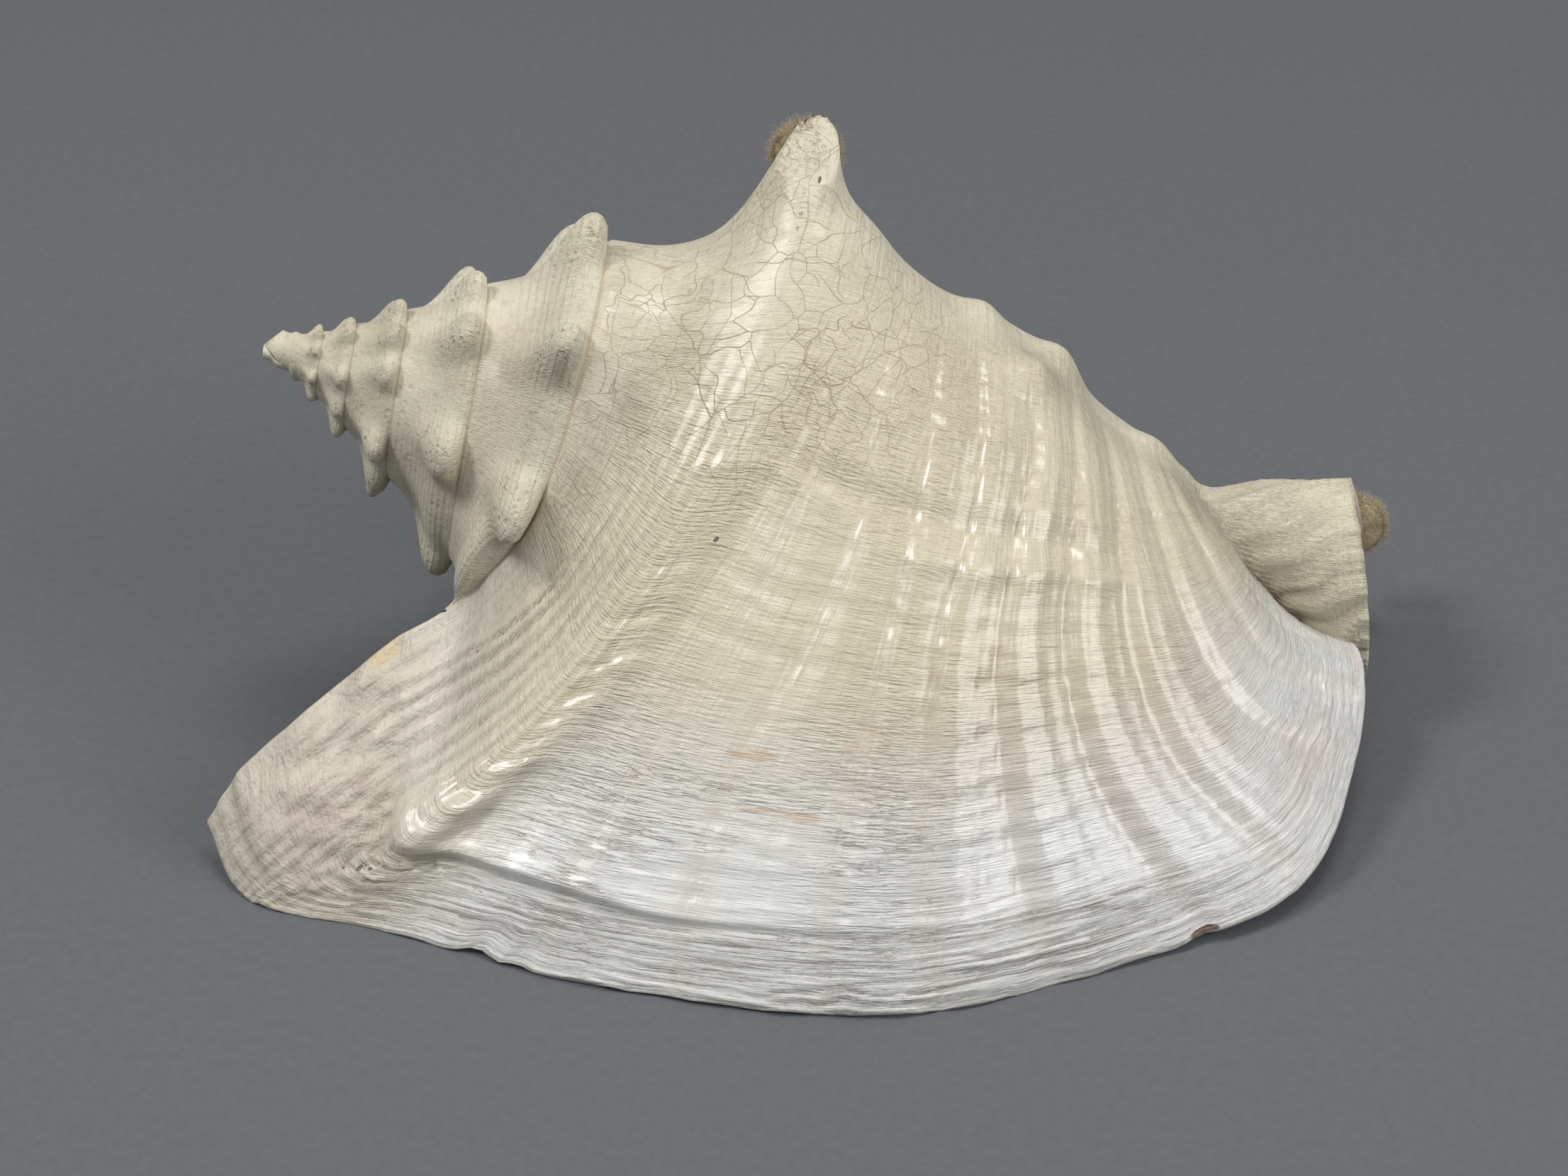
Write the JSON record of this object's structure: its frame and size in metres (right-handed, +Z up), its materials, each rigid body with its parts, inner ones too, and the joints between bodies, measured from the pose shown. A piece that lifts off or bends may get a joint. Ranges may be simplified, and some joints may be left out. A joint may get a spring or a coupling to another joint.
{
  "type": "conch shell",
  "caption": "Large bleached conch shell with a knobbed spire and a wide flared lip, lying on its lip edge, with small felt pads stuck to its back.",
  "frame": {"origin": "on the floor, under the middle of the whole object's bounding box", "axes": "+X along the shell from the spire towards the siphonal canal, -Y towards the flared lip, +Z up, lying as it rests"},
  "size_m": [0.2644, 0.1756, 0.1304],
  "materials": {
    "shell": "bleached shell, chalky on the spire, glossy on the body",
    "felt": "matt brown felt"
  },
  "bodies": {
    "root": {"shell": "shell", "pad_spine": "felt", "pad_canal": "felt"}
  },
  "joints": []
}
